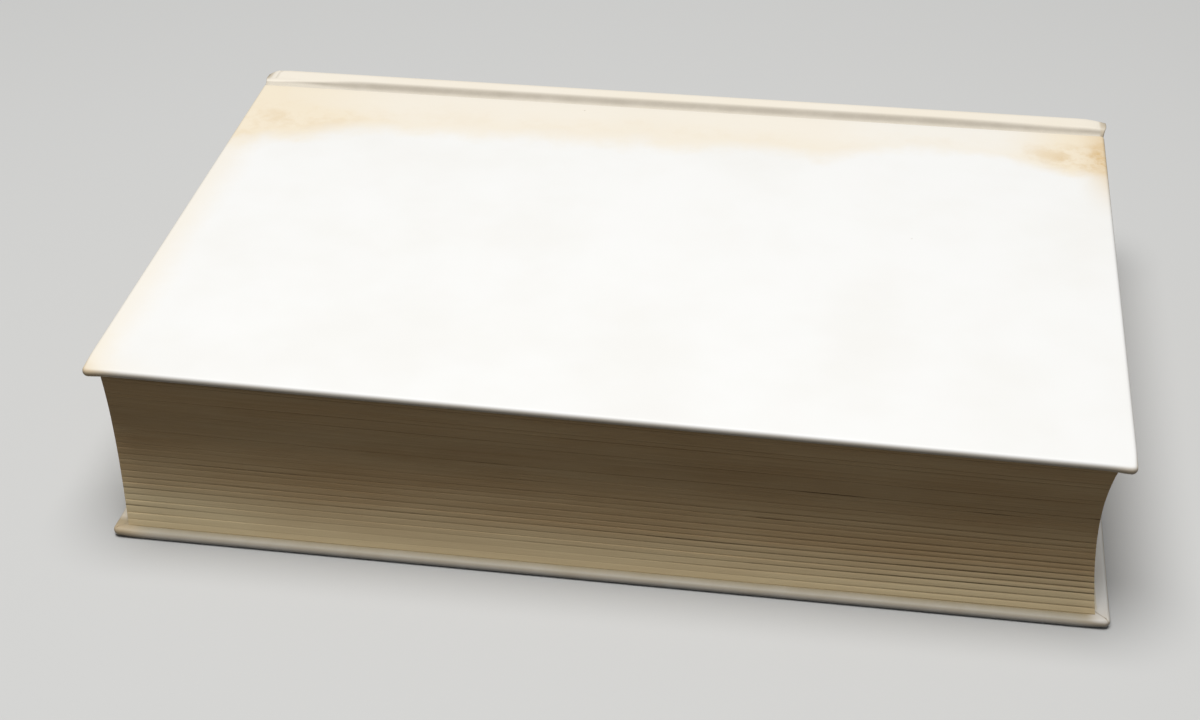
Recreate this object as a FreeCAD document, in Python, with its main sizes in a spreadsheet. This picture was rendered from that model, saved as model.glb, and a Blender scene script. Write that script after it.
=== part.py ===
import FreeCAD, Part
import os
import re
import Sketcher

# A hardback book lying on its back cover. X runs along the spine towards the head, +Y points from
# the fore-edge to the spine, and Z is up from the table. The origin is under the middle of the book.

# Driving dimensions, in millimetres
dimensions = [
    ("board_width", 146.4),        # greyboard, across
    ("board_thick", 1.6),
    ("covering_thick", 0.3),       # the sheet that covers boards and spine
    ("turn_in", 15.0),             # how far that sheet folds over onto the inside
    ("edge_round", 0.7),           # outer edges of the covered boards
    ("mitre_gap", 0.25),           # between the two turn-ins that meet at a corner
    ("page_length", 233.0),        # along the spine
    ("pages_thick", 44.4),         # all the leaves, pressed
    ("end_square", 3.5),           # cover beyond the pages at head and tail
    ("fore_square", 2.4),          # cover beyond the pages at the fore-edge
    ("fore_hollow", 5.0),          # depth of the hollow fore-edge
    ("leaf_slip", 1.7),            # middle leaves slipped towards the tail at the fore-edge
    ("section_count", 30),         # folded sections sewn into the block
    ("section_gap", 0.14),         # open line between two sections
    ("gap_depth", 0.6),            # how deep that line is cut in
    ("gap_stop", 4.0),             # it ends this far from the shoulder
    ("endpaper_thick", 0.15),
    ("paste_margin", 3.0),         # from a covered edge to the pastedown's edge
    ("joint_reach", 8.6),          # from a covered board to the crown of the shoulder
    ("shoulder_radius", 2.5),      # where the sections bend over against the board
    ("crown_drop", 0.3),           # crown of the spine below the outside of the boards
    ("spine_reach", 7.7),          # rounded back of the pages beyond the crown lines
    ("mull_thick", 0.25),
    ("mull_margin", 2.2),          # mull short of the turn-ins at head and tail
    ("mull_flap", 25.0),           # how far the mull is glued onto a board
    ("lining_thick", 0.15),
    ("lining_margin", 1.0),        # lining short of the pages at head and tail
    ("inlay_thick", 0.4),          # card strip that stiffens the back of the case
    ("roll_gap", 0.4),             # free space under the case at the shoulders
    ("hollow_gap", 0.6),           # free space behind the rounded back
    ("seam_gap", 0.3),             # side clearance on the hinge line
    ("paper_gap", 0.2),            # clearance round a sheet's free edge
    ("bead_radius", 1.1),          # rolled edge of a headband
    ("band_tape", 9.0),            # headband's tape, along the spine
    ("band_share", 0.95),          # part of the rounded back that a headband spans
]

# Sizes that follow from them
derived = {
    "cover_length": "page_length + 2 * end_square",
    "board_length": "cover_length - 2 * covering_thick",
    "mull_length": "board_length - 2 * turn_in - 2 * mull_margin",
    "cover_width": "board_width + 2 * covering_thick",
    "inner_layer": "max(covering_thick; mull_thick)",
    "board_inside": "covering_thick + board_thick",
    "paste_low": "board_inside + inner_layer",
    "leaf_low": "paste_low + endpaper_thick",
    "pages_low": "leaf_low + endpaper_thick",
    "book_thick": "pages_thick + 2 * pages_low",
    "mid_height": "book_thick / 2",
    "pages_high": "pages_low + pages_thick",
    "roll_inner": "shoulder_radius + mull_thick + lining_thick + inlay_thick + roll_gap",
    "roll_outer": "roll_inner + covering_thick",
    "roll_low": "crown_drop + roll_outer",
    "roll_offset": "mid_height - roll_low",
    "case_reach": "spine_reach + mull_thick + lining_thick + inlay_thick + hollow_gap",
    "book_width": "cover_width + joint_reach + case_reach + covering_thick",
    "fore_side": "-book_width / 2",
    "joint_side": "fore_side + cover_width",
    "crown_line": "joint_side + joint_reach",
    "pages_fore": "fore_side + fore_square",
    "shoulder_base": "crown_line - sqrt(shoulder_radius ^ 2 - (roll_low - pages_low) ^ 2)",
    "leaf_end": "shoulder_base - paper_gap",
    "paste_end": "crown_line - roll_inner + mull_thick",
    "section_pitch": "pages_thick / section_count",
}

doc = FreeCAD.newDocument("HardbackBook")
sizes = doc.addObject("Spreadsheet::Sheet", "Sizes")
for row, (alias, amount) in enumerate(dimensions, start=1):
    sizes.set(f"A{row}", str(amount))
    sizes.setAlias(f"A{row}", alias)
doc.recompute()
driving = [alias for alias, amount in dimensions]


def formula(text):
    # Writes a size's name as its cell, and a derived size as its own formula
    def spell(found):
        name = found.group()
        return f"Sizes.{name}" if name in driving else f"({formula(derived[name])})"
    return re.sub(r"[a-z]+(?:_[a-z]+)+", spell, text)


def number(text):
    return float(sizes.evalExpression(formula(text)))


def bind(thing, **expressions):
    for name, text in expressions.items():
        thing.setExpression(name.replace("__", "."), formula(text))


def spot(pair):
    return FreeCAD.Vector(number(pair[0]), number(pair[1]), 0)


def new_body(name):
    body = doc.addObject("PartDesign::Body", name)
    body.Label = name
    return body


def sketch_on(body, name, role, offset="0"):
    plane = [feature for feature in body.Origin.OriginFeatures if feature.Role == role][0]
    sketch = body.newObject("Sketcher::SketchObject", name)
    sketch.AttachmentSupport = [(plane, "")]
    sketch.MapMode = "FlatFace"
    bind(sketch, AttachmentOffset__Base__z=offset)
    return sketch


def hold(sketch, item, end, pair):
    # Ties one point of a sketch to its two sizes
    for kind, text in zip(("DistanceX", "DistanceY"), pair):
        index = sketch.addConstraint(Sketcher.Constraint(kind, item, end, number(text)))
        sketch.setExpression(f"Constraints[{index}]", formula(text))


def outline(sketch, corners, through=None):
    # A closed outline: straight from corner to corner, or an arc through the point given for a side
    through = through or {}
    spots = [spot(corner) for corner in corners]
    sides = []
    for index, here in enumerate(spots):
        there = spots[(index + 1) % len(spots)]
        if index in through:
            curve = Part.Arc(here, spot(through[index]), there)
        else:
            curve = Part.LineSegment(here, there)
        sides.append(sketch.addGeometry(curve, False))

    def end_at(side, here):
        return min((1, 2), key=lambda end: sketch.getPoint(side, end).distanceToPoint(here))

    ends = [(end_at(side, spots[index]), end_at(side, spots[(index + 1) % len(spots)]))
            for index, side in enumerate(sides)]
    for index, side in enumerate(sides):
        hold(sketch, side, ends[index][0], corners[index])
        before = index - 1
        sketch.addConstraint(Sketcher.Constraint(
            "Coincident", sides[before], ends[before][1], side, ends[index][0]))
    for index, pair in through.items():
        mark = sketch.addGeometry(Part.Point(spot(pair)), True)
        hold(sketch, mark, 1, pair)
        sketch.addConstraint(Sketcher.Constraint("PointOnObject", mark, 1, sides[index]))


def rectangle(sketch, low, high):
    outline(sketch, [low, (high[0], low[1]), high, (low[0], high[1])])


def add(body, kind, sketch, length, symmetric=False, reverse=False):
    feature = body.newObject("PartDesign::" + kind, sketch.Name + kind)
    feature.Profile = sketch
    feature.SideType = "Symmetric" if symmetric else "One side"
    feature.Reversed = reverse
    bind(feature, Length=length)
    sketch.Visibility = False
    return feature


def onto_side(body, side):
    # Every cover piece is drawn for the back cover, and the front's is turned over about Y
    if side == "front":
        body.Placement = FreeCAD.Placement(FreeCAD.Vector(), FreeCAD.Rotation(FreeCAD.Vector(0, 1, 0), 180))
        bind(body, Placement__Base__z="book_thick")
    return body


def plate(name, side, length, width_from, width_to, low, thick):
    # A flat sheet, centred on the book's length
    body = new_body(name)
    sketch = sketch_on(body, "Sheet", "XY_Plane", low)
    rectangle(sketch, (f"-({length}) / 2", width_from), (f"({length}) / 2", width_to))
    add(body, "Pad", sketch, thick)
    return onto_side(body, side)


class SpineCurve:
    # The cross-section of one layer round the spine: a shoulder of the given radius at each crown
    # line, joined by a rounded back that touches both and reaches the given distance beyond them

    def __init__(self, radius, reach):
        lead = f"(({reach}) - ({radius}))"
        self.radius = f"({radius})"
        self.reach = f"({reach})"
        self.centre = f"(({lead} ^ 2 - roll_offset ^ 2) / (2 * {lead}))"
        self.span = f"({lead} - {self.centre})"

    def middle(self):
        return (f"crown_line + {self.reach}", "mid_height")

    def crown(self, sign):
        return ("crown_line", f"mid_height + {sign} * (roll_offset + {self.radius})")

    def shoulder(self, sign):
        # A point on the shoulder's arc, between the crown and the rounded back
        return (f"crown_line + {self.radius} * cos(60 deg)",
                f"mid_height + {sign} * (roll_offset + {self.radius} * sin(60 deg))")

    def tangent(self, sign):
        # Where the shoulder's arc runs into the rounded back
        return (f"crown_line - {self.radius} * {self.centre} / {self.span}",
                f"mid_height + {sign} * (roll_offset + {self.radius} * roll_offset / {self.span})")

    def share(self, sign, part):
        # A point on the rounded back, at part of the way from its middle to the tangent point
        angle = f"{part} * asin(roll_offset / {self.span})"
        back = f"({self.reach} - {self.centre})"
        return (f"crown_line + {self.centre} + {back} * cos({angle})",
                f"mid_height + {sign} * {back} * sin({angle})")


def offset_curve(curve, distance):
    return SpineCurve(f"{curve.radius} + {distance}", f"{curve.reach} + {distance}")


pages_back = SpineCurve("shoulder_radius", "spine_reach")
mull_back = offset_curve(pages_back, "mull_thick")
lining_back = offset_curve(mull_back, "lining_thick")
case_back = SpineCurve("roll_inner", "case_reach")
case_outside = offset_curve(case_back, "covering_thick")
inlay_front = offset_curve(case_back, "-inlay_thick")
cap_front = offset_curve(inlay_front, "-covering_thick")


def wrap_section(sketch, inner, outer):
    # A layer that goes round both shoulders, from crown line to crown line
    corners = [inner.crown(-1), inner.tangent(-1), inner.tangent(1), inner.crown(1),
               outer.crown(1), outer.tangent(1), outer.tangent(-1), outer.crown(-1)]
    outline(sketch, corners, {
        0: inner.shoulder(-1), 1: inner.middle(), 2: inner.shoulder(1),
        4: outer.shoulder(1), 5: outer.middle(), 6: outer.shoulder(-1)})


def back_section(sketch, inner, outer):
    # A layer on the rounded back only
    corners = [inner.share(-1, 1), inner.share(1, 1), outer.share(1, 1), outer.share(-1, 1)]
    outline(sketch, corners, {0: inner.middle(), 2: outer.middle()})


# Pages: one block, rounded at the spine, hollow at the fore-edge, with the sections' lines
def trim_end(body, sign, outside):
    # The leaves are square from the shoulder on, and at the fore-edge the middle ones have slipped
    side = "Head" if sign > 0 else "Tail"
    edge = f"{sign} * page_length / 2"
    past = f"{sign} * 2 * ({outside})"
    under = "pages_low - pages_thick"
    above = "pages_high + pages_thick"
    corners = [(edge, "pages_low"), (edge, "pages_high"), (edge, above), (past, above), (past, under),
               (edge, under)]
    slipped = {0: (f"{edge} - leaf_slip", "mid_height")}
    shapes = []
    for name, across, through in (("Fore", "pages_fore - gap_depth", slipped),
                                  ("Shoulder", "shoulder_base - gap_depth", None),
                                  ("Spine", f"crown_line + {pages_back.reach} + gap_depth", None)):
        sketch = sketch_on(body, side + name, "XZ_Plane", f"-({across})")
        outline(sketch, corners, through)
        sketch.Visibility = False
        shapes.append(sketch)
    cut = body.newObject("PartDesign::SubtractiveLoft", side + "Trim")
    cut.Profile = shapes[0]
    cut.Sections = shapes[1:]
    cut.Ruled = True


def make_text_block():
    body = new_body("text_block")
    section = sketch_on(body, "PageSection", "YZ_Plane")
    corners = [("pages_fore", "pages_low"), ("shoulder_base", "pages_low"),
               pages_back.tangent(-1), pages_back.tangent(1),
               ("shoulder_base", "pages_high"), ("pages_fore", "pages_high")]
    outline(section, corners, {
        1: pages_back.crown(-1), 2: pages_back.middle(), 3: pages_back.crown(1),
        5: ("pages_fore + fore_hollow", "mid_height")})
    outside = "page_length / 2 + leaf_slip + gap_depth"
    add(body, "Pad", section, f"2 * ({outside})", symmetric=True)
    doc.recompute()
    for sign in (1, -1):
        trim_end(body, sign, outside)

    # The line between two sections shows at head, fore-edge and tail, so its cut is a U
    line = sketch_on(body, "SectionLine", "XY_Plane", "pages_low + section_pitch + section_gap / 2")
    tail = "-(page_length / 2 - gap_depth)"
    head = "page_length / 2 - leaf_slip - gap_depth"
    stop = "shoulder_base - gap_stop"
    front = "pages_fore - gap_depth"
    floor = "pages_fore + fore_hollow + gap_depth"
    outline(line, [(f"-({outside})", stop), (f"-({outside})", front), (outside, front), (outside, stop),
                   (head, stop), (head, floor), (tail, floor), (tail, stop)])
    cut = add(body, "Pocket", line, "section_gap")
    doc.recompute()
    lines = body.newObject("PartDesign::LinearPattern", "SectionLines")
    lines.Originals = [cut]
    lines.Direction = ([axis for axis in body.Origin.OriginFeatures if axis.Role == "Z_Axis"][0], [""])
    bind(lines, Length="(section_count - 2) * section_pitch", Occurrences="section_count - 1")
    body.Tip = lines
    return body


def make_free_endpaper(side):
    return plate(side + "_free_endpaper", side, "page_length", "pages_fore", "leaf_end",
                 "leaf_low", "endpaper_thick")


# Spine of the block: mull, lining and headbands
def make_spine_layer(name, length, inner, outer, section):
    body = new_body(name)
    sketch = sketch_on(body, "LayerSection", "YZ_Plane")
    section(sketch, inner, outer)
    add(body, "Pad", sketch, length, symmetric=True)
    return body


def make_headband(name, side):
    # A rolled bead against the end of the pages, on a tape glued round the back
    body = new_body(name)
    sketch = sketch_on(body, "BandSection", "XY_Plane", "mid_height")
    back = f"crown_line + {pages_back.reach}"
    tape = f"{back} + mull_thick"
    end = "page_length / 2"
    corners = [(f"{end} - band_tape", back), (f"{end} - band_tape", tape),
               (f"{end} + bead_radius", tape), (end, f"{tape} - bead_radius"), (end, back)]
    outline(sketch, corners, {2: (f"{end} + bead_radius", f"{tape} - 2 * bead_radius")})
    pivot = f"crown_line + {pages_back.centre}"
    axis = sketch.addGeometry(Part.LineSegment(spot(("0", pivot)), spot((end, pivot))), True)
    hold(sketch, axis, 1, ("0", pivot))
    hold(sketch, axis, 2, (end, pivot))
    turned = body.newObject("PartDesign::Revolution", "Band")
    turned.Profile = sketch
    turned.ReferenceAxis = (sketch, ["Axis0"])
    turned.Midplane = True
    bind(turned, Angle=f"2 * band_share * asin(roll_offset / {pages_back.span})")
    sketch.Visibility = False
    return onto_side(body, side)


# Back of the case: the covering round the shoulders, turned in over a card inlay at both ends
def make_spine_covering():
    body = new_body("spine_covering")
    skin = sketch_on(body, "SkinSection", "YZ_Plane")
    wrap_section(skin, case_back, case_outside)
    add(body, "Pad", skin, "cover_length", symmetric=True)
    caps = sketch_on(body, "CapSection", "YZ_Plane")
    back_section(caps, cap_front, case_back)
    add(body, "Pad", caps, "cover_length", symmetric=True)
    clear = sketch_on(body, "ClearSection", "YZ_Plane")
    back_section(clear, offset_curve(cap_front, "-covering_thick"), case_back)
    add(body, "Pocket", clear, "board_length - 2 * turn_in", symmetric=True)
    slot = sketch_on(body, "InlaySlot", "YZ_Plane")
    back_section(slot, inlay_front, case_back)
    add(body, "Pocket", slot, "board_length", symmetric=True)
    return body


# Covers: greyboard, the covering with its turn-ins and joint, the mull's flap and the pastedown
def make_board(side):
    return plate(side + "_board", side, "board_length", "fore_side + covering_thick",
                 "joint_side - covering_thick", "covering_thick", "board_thick")


def joint_drop(radius, height):
    # How far short of the crown line a shoulder's arc passes a given height
    return f"crown_line - sqrt(({radius}) ^ 2 - (roll_low - ({height})) ^ 2)"


def joint_section(sketch, start, low, thick, radius):
    # A sheet that lies flat in the joint and bends out over the shoulder, up to the hinge line
    high = f"{low} + {thick}"
    inner = f"{radius} - {thick}"
    end = "crown_line - seam_gap"
    corners = [(start, low), (joint_drop(radius, low), low),
               (end, f"roll_low - sqrt(({radius}) ^ 2 - seam_gap ^ 2)"),
               (end, f"roll_low - sqrt(({inner}) ^ 2 - seam_gap ^ 2)"),
               (joint_drop(inner, high), high), (start, high)]
    outline(sketch, corners, {
        1: (f"crown_line - ({radius}) * cos(60 deg)", f"roll_low - ({radius}) * sin(60 deg)"),
        3: (f"crown_line - ({inner}) * cos(60 deg)", f"roll_low - ({inner}) * sin(60 deg)")})


def outer_edges(body, feature):
    # The board's edges that show, apart from those on the joint's inner side
    joint = number("joint_side")
    top = number("board_inside + covering_thick")
    names = []
    for index, edge in enumerate(feature.Shape.Edges, start=1):
        centre = edge.CenterOfMass
        on_joint = abs(centre.y - joint) < 0.001
        upright = abs(edge.BoundBox.ZLength - top) < 0.001
        inside_top = on_joint and abs(centre.z - top) < 0.001
        if not inside_top and not (on_joint and upright):
            names.append(f"Edge{index}")
    return names


def make_covering(side):
    body = new_body(side + "_covering")
    half = "cover_length / 2"
    wrap = sketch_on(body, "Wrap", "XY_Plane")
    rectangle(wrap, (f"-{half}", "fore_side"), (half, "joint_side"))
    block = add(body, "Pad", wrap, "board_inside + covering_thick")
    doc.recompute()
    soft = body.newObject("PartDesign::Fillet", "SoftEdges")
    soft.Base = (block, outer_edges(body, block))
    bind(soft, Radius="edge_round")
    joint = sketch_on(body, "JointSection", "YZ_Plane")
    joint_section(joint, "joint_side - covering_thick", "board_thick", "covering_thick", "roll_outer")
    add(body, "Pad", joint, "cover_length", symmetric=True)
    doubled = sketch_on(body, "JointTurnIn", "YZ_Plane")
    rectangle(doubled, ("joint_side - covering_thick", "board_inside"),
              ("paste_end", "board_inside + covering_thick"))
    add(body, "Pad", doubled, "cover_length", symmetric=True)

    window = sketch_on(body, "Window", "XY_Plane", "board_inside")
    open_half = "board_length / 2 - turn_in"
    open_fore = "fore_side + covering_thick + turn_in"
    rectangle(window, (f"-({open_half})", open_fore), (open_half, "crown_line"))
    add(body, "Pocket", window, "2 * covering_thick", reverse=True)
    core = sketch_on(body, "BoardSpace", "XY_Plane", "covering_thick")
    rectangle(core, ("-board_length / 2", "fore_side + covering_thick"),
              ("board_length / 2", "joint_side - covering_thick"))
    add(body, "Pocket", core, "board_thick", reverse=True)
    mitres = sketch_on(body, "Mitres", "XY_Plane", "board_inside")
    for sign in ("-", ""):
        tip = ("board_length / 2", "fore_side + covering_thick")
        outline(mitres, [
            (f"{sign}({tip[0]} - mitre_gap)", tip[1]), (f"{sign}({tip[0]})", f"{tip[1]} + mitre_gap"),
            (f"{sign}({open_half} - mitre_gap)", f"{open_fore} + 2 * mitre_gap"),
            (f"{sign}({open_half} - 2 * mitre_gap)", f"{open_fore} + mitre_gap")])
    add(body, "Pocket", mitres, "2 * covering_thick", reverse=True)
    return onto_side(body, side)


def make_mull_flap(side):
    body = new_body(side + "_mull_flap")
    sketch = sketch_on(body, "FlapSection", "YZ_Plane")
    joint_section(sketch, "joint_side - mull_flap", "board_inside", "mull_thick", "roll_inner")
    add(body, "Pad", sketch, "mull_length", symmetric=True)
    return onto_side(body, side)


def make_pastedown(side):
    # It lies on the turn-ins round the edge, and on the bare board inside them
    body = new_body(side + "_pastedown")
    half = "cover_length / 2 - paste_margin"
    sheet = sketch_on(body, "Sheet", "XY_Plane", "paste_low")
    rectangle(sheet, (f"-({half})", "fore_side + paste_margin"), (half, "paste_end"))
    add(body, "Pad", sheet, "endpaper_thick")
    low = ("-(board_length / 2 - turn_in - paper_gap)",
           "fore_side + covering_thick + turn_in + paper_gap")
    high = ("board_length / 2 - turn_in - paper_gap", "joint_side - mull_flap - paper_gap")
    pan = sketch_on(body, "Pan", "XY_Plane", "board_inside")
    rectangle(pan, low, high)
    add(body, "Pad", pan, "inner_layer + endpaper_thick")
    dish = sketch_on(body, "Dish", "XY_Plane", "board_inside + endpaper_thick")
    rectangle(dish, (f"{low[0]} + endpaper_thick", f"{low[1]} + endpaper_thick"),
              (f"{high[0]} - endpaper_thick", f"{high[1]} - endpaper_thick"))
    add(body, "Pocket", dish, "inner_layer + endpaper_thick", reverse=True)
    return onto_side(body, side)


nodes = [
    make_text_block(),
    make_spine_layer("spine_mull", "mull_length", pages_back, mull_back, wrap_section),
    make_spine_layer("spine_lining", "page_length - 2 * lining_margin", mull_back, lining_back, back_section),
    make_headband("head_band", "back"),
    make_headband("tail_band", "front"),
    make_spine_layer("spine_inlay", "board_length", inlay_front, case_back, back_section),
    make_spine_covering(),
]
for side in ("front", "back"):
    nodes.append(make_free_endpaper(side))
    nodes.append(make_board(side))
    nodes.append(make_covering(side))
    nodes.append(make_mull_flap(side))
    nodes.append(make_pastedown(side))

doc.recompute()
for thing in doc.Objects:
    if "Invalid" in thing.State or "Error" in thing.State:
        raise RuntimeError(f"{thing.Label} did not build: {thing.State}")
for node in nodes:
    if node.Shape.isNull() or not node.Shape.isValid():
        raise RuntimeError(f"{node.Label} has no valid shape")

os.makedirs("parts", exist_ok=True)
for node in nodes:
    node.Shape.exportStep(f"parts/{node.Label}.step")
    box = node.Shape.BoundBox
    print(f"{node.Label}: {len(node.Shape.Solids)} solid, volume {node.Shape.Volume:.1f},"
          f" X {box.XMin:.2f} to {box.XMax:.2f}, Y {box.YMin:.2f} to {box.YMax:.2f},"
          f" Z {box.ZMin:.2f} to {box.ZMax:.2f}")
print(f"Hinge lines at Y {number('crown_line'):.3f}, Z 0 and {number('book_thick'):.3f}")
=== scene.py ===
import math
import random

import bpy
from mathutils import Matrix, Vector, noise


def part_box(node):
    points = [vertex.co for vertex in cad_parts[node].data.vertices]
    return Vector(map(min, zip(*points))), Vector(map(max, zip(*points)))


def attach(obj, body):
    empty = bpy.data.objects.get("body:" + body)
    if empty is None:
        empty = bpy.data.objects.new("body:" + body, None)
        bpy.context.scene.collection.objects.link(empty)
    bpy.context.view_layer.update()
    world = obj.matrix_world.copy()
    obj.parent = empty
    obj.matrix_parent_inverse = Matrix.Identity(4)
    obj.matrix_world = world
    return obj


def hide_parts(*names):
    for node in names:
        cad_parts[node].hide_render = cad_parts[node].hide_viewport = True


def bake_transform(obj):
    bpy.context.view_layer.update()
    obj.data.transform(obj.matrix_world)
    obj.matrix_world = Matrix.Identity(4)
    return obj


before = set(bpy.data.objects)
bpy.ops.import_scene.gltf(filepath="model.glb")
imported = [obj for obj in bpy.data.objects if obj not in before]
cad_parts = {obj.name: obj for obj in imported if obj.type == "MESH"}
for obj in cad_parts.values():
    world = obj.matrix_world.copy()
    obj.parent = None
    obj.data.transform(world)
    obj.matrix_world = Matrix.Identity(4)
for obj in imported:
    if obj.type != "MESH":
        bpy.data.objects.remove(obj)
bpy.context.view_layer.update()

mm = 0.001


def span(node):
    # Lowest and highest corner of a node of the frame, in millimetres
    return [[value / mm for value in corner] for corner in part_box(node)]


coverLow, coverHigh = span("back_covering")
frontHigh = span("front_covering")[1]
leafLow, leafHigh = span("back_free_endpaper")
pastedHigh = span("back_pastedown")[1]
spineLow, spineHigh = span("spine_covering")
mullLow, mullHigh = span("back_mull_flap")

# Sizes of the closed book, in millimetres: x towards the head, y towards the spine, z up
book = {
    "halfLength": coverHigh[0],
    "foreSide": coverLow[1],
    "jointSide": 64.5,
    "crownLine": spineLow[1],
    "spineSide": spineHigh[1],
    "thick": frontHigh[2],
    "boardThick": coverHigh[2],
    "sheet": 0.3,
    "rollHeight": 4.3,
    "blendFrom": 69.1,
    "swelling": 1.6,       # the leaves are thicker by this at the tail, and thinner at the head
}
book["boardWidth"] = book["jointSide"] - book["foreSide"]
book["middle"] = book["thick"] / 2


class Shape:
    # Points in millimetres and the faces between them; a point that comes twice is used once

    def __init__(self):
        self.points = []
        self.tags = []
        self.faces = []
        self.known = {}

    def point(self, x, y, z, tag=(0, 0, 0)):
        key = (round(x, 3), round(y, 3), round(z, 3))
        if key not in self.known:
            self.known[key] = len(self.points)
            self.points.append((x, y, z))
            self.tags.append(tag)
        return self.known[key]

    def face(self, *corners):
        kept = [corner for index, corner in enumerate(corners) if corner != corners[index - 1]]
        if len(set(kept)) == len(kept) > 2:
            self.faces.append(kept)

    def grid(self, rows, flip=False):
        for low, high in zip(rows, rows[1:]):
            for index in range(len(low) - 1):
                corners = [low[index], low[index + 1], high[index + 1], high[index]]
                self.face(*(reversed(corners) if flip else corners))

    def piece(self, name, sharp=40, turned=False, tag=None):
        # The front cover's pieces are drawn for the back cover and turned over
        if turned:
            self.points = [(-x, y, book["thick"] - z) for x, y, z in self.points]
        mesh = bpy.data.meshes.new(name)
        mesh.from_pydata([Vector(point) * mm for point in self.points], [], self.faces)
        mesh.validate()
        rest = mesh.attributes.new("rest", "FLOAT_VECTOR", "POINT")
        rest.data.foreach_set("vector", [value for point in self.points for value in point])
        if tag:
            marks = mesh.attributes.new(tag, "FLOAT_VECTOR", "POINT")
            marks.data.foreach_set("vector", [value for mark in self.tags for value in mark])
        mesh.polygons.foreach_set("use_smooth", [True] * len(mesh.polygons))
        mesh.set_sharp_from_angle(angle=math.radians(sharp))
        made = bpy.data.objects.new(name, mesh)
        bpy.context.scene.collection.objects.link(made)
        return made


def steps(low, high, size):
    count = max(1, round((high - low) / size))
    return [low + (high - low) * index / count for index in range(count + 1)]


def smoothLeast(one, other, soft):
    return -soft * math.log(math.exp(-one / soft) + math.exp(-other / soft))


def smooth(value, low, high):
    share = min(1, max(0, (value - low) / (high - low)))
    return share * share * (3 - 2 * share)


def wander(x, y, z=0.0):
    # A smooth wavy number from about -1 to 1
    return noise.noise(Vector((x, y, z)))


# Materials

class Shade:
    # One socket of a finish; sums and products of shades add their own Math nodes

    def __init__(self, finish, socket):
        self.finish = finish
        self.socket = socket

    def __add__(self, other):
        return self.finish.math("ADD", self, other)

    def __radd__(self, other):
        return self.finish.math("ADD", other, self)

    def __sub__(self, other):
        return self.finish.math("SUBTRACT", self, other)

    def __rsub__(self, other):
        return self.finish.math("SUBTRACT", other, self)

    def __mul__(self, other):
        return self.finish.math("MULTIPLY", self, other)

    def __rmul__(self, other):
        return self.finish.math("MULTIPLY", other, self)

    def __truediv__(self, other):
        return self.finish.math("DIVIDE", self, other)

    def __abs__(self):
        return self.finish.math("ABSOLUTE", self)


class Finish:
    # One material and the nodes in it

    def __init__(self, name):
        self.material = bpy.data.materials.new(name)
        self.material.use_nodes = True
        self.tree = self.material.node_tree
        self.tree.nodes.clear()

    def node(self, kind, settings, sockets, output=0):
        made = self.tree.nodes.new("ShaderNode" + kind)
        for name, value in settings.items():
            setattr(made, name, value)
        for name, value in sockets.items():
            if isinstance(value, Shade):
                self.tree.links.new(value.socket, made.inputs[name])
            else:
                made.inputs[name].default_value = value
        return Shade(self, made.outputs[output])

    def math(self, operation, *values):
        return self.node("Math", {"operation": operation}, dict(enumerate(values)))

    def attribute(self, name):
        return self.node("Attribute", {"attribute_name": name}, {}, "Vector")

    def framePlace(self):
        # A node of the frame has no attribute of its own, so its place is read in metres
        place = self.node("TexCoord", {}, {}, "Object")
        return self.node("VectorMath", {"operation": "SCALE"}, {0: place, "Scale": 1 / mm})

    def parts(self, place):
        return [self.node("SeparateXYZ", {}, {0: place}, axis) for axis in "XYZ"]

    def joined(self, x, y, z):
        return self.node("CombineXYZ", {}, {0: x, 1: y, 2: z})

    def stretched(self, place, x, y, z):
        return self.node("VectorMath", {"operation": "MULTIPLY"}, {0: place, 1: (x, y, z)})

    def cloud(self, place, scale, detail, roughness):
        return self.node("TexNoise", {}, {
            "Vector": place, "Scale": scale, "Detail": detail, "Roughness": roughness})

    def fade(self, value, none, full):
        # 0 at one value and 1 at the other, which may be the lower of the two
        return self.node("MapRange", {"interpolation_type": "SMOOTHSTEP"}, {
            "Value": value, "From Min": none, "From Max": full})

    def mixed(self, share, one, other):
        return self.node("Mix", {"data_type": "RGBA", "clamp_factor": True},
                         {0: share, 6: one, 7: other}, 2)

    def surface(self, colour, roughness, bumps=(), **values):
        # bumps are pairs of a height in millimetres and the finish's strength there
        normal = None
        for height, depth in bumps:
            sockets = {"Height": height, "Distance": depth * mm, "Strength": 1.0}
            if normal:
                sockets["Normal"] = normal
            normal = self.node("Bump", {}, sockets)
        sockets = {"Base Color": colour, "Roughness": roughness}
        sockets.update({name.replace("_", " "): value for name, value in values.items()})
        if normal:
            sockets["Normal"] = normal
        shader = self.node("BsdfPrincipled", {}, sockets)
        output = self.tree.nodes.new("ShaderNodeOutputMaterial")
        self.tree.links.new(shader.socket, output.inputs["Surface"])
        return self.material


def wear(thing, material):
    thing.data.materials.clear()
    thing.data.materials.append(material)


coverFinish = {
    "paper": (0.86, 0.856, 0.838, 1),
    "dull": (0.835, 0.825, 0.795, 1),
    "toned": (0.83, 0.735, 0.575, 1),
    "foxed": (0.66, 0.475, 0.25, 1),
    "dustAndCreaseShade": (0.42, 0.37, 0.29, 1),
    "shadeGrey": (0.42, 0.373, 0.30, 1),
    "soilAndWarmShade": (0.52, 0.43, 0.30, 1),
    "shadeUnderEdge": (0.20, 0.15, 0.09, 1),
    "ledge": (0.448, 0.39, 0.275, 1),
    "roughness": 0.5,
    "bandWidth": 20.5,     # the paper is toned this far from the joint
    "shift": {"front": 0, "back": 310, "spine": 140},
}


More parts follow.
